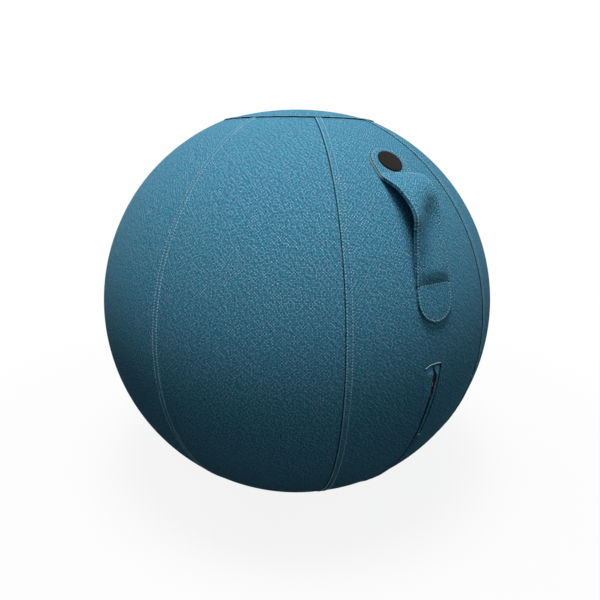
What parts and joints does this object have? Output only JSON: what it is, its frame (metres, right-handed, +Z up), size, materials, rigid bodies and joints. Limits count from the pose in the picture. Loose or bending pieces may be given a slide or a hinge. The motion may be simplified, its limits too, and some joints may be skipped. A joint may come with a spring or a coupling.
{
  "type": "sitting ball",
  "caption": "Inflated sitting ball in a zip-up cloth cover of upright panels and round caps, with a padded carry strap sewn on at both ends.",
  "frame": {"origin": "centre of the flat patch where the ball rests on the floor", "axes": "+Z up through the caps, -Y to the handle and the zip, +X to the right seen from the front"},
  "size_m": [0.6498, 0.6522, 0.6381],
  "materials": {
    "cover_cloth": "matte melange hopsack weave, teal blue",
    "handle_padding": "pale felt padding, raw cut edge",
    "bladder_vinyl": "satin grey vinyl",
    "valve_plastic": "off-white, smooth",
    "badge_black": "black, fine matte",
    "washer_plastic": "black, smooth",
    "zip_tape": "black woven tape",
    "zip_teeth": "black moulded",
    "zip_metal": "antique bronze lacquer"
  },
  "bodies": {
    "cover": {"panel_front": "cover_cloth", "panel_front_right": "cover_cloth", "panel_right": "cover_cloth", "panel_back_right": "cover_cloth", "panel_back": "cover_cloth", "panel_back_left": "cover_cloth", "panel_left": "cover_cloth", "panel_front_left": "cover_cloth", "top_cap": "cover_cloth", "bottom_cap": "cover_cloth", "bladder": "bladder_vinyl", "valve_seat": "valve_plastic", "valve_plug": "valve_plastic", "handle_lining": "cover_cloth", "handle_core": "handle_padding", "handle_outer": "cover_cloth", "badge_disc": "badge_black", "badge_washer": "washer_plastic", "zip_welt_left": "cover_cloth", "zip_welt_right": "cover_cloth", "zip_tape_left": "zip_tape", "zip_tape_right": "zip_tape", "zip_teeth_left": "zip_teeth", "zip_teeth_right": "zip_teeth", "zip_top_stops": "zip_metal", "zip_bottom_stop": "zip_metal"},
    "slider": {"zip_slider": "zip_metal"},
    "pull": {"zip_pull": "zip_metal"}
  },
  "joints": [
    {"name": "zip_travel", "type": "hinge", "parent": "cover", "child": "slider", "pos_m": [0, 0, 0.31844], "axis": [1, 0, 0], "range_deg": [0, 58.5], "deforming": ["zip_teeth_left", "zip_teeth_right"]},
    {"name": "pull_swing", "type": "hinge", "parent": "slider", "child": "pull", "pos_m": [0, -0.3237, 0.28727], "axis": [-1, 0, 0], "range_deg": [0, 150]}
  ]
}
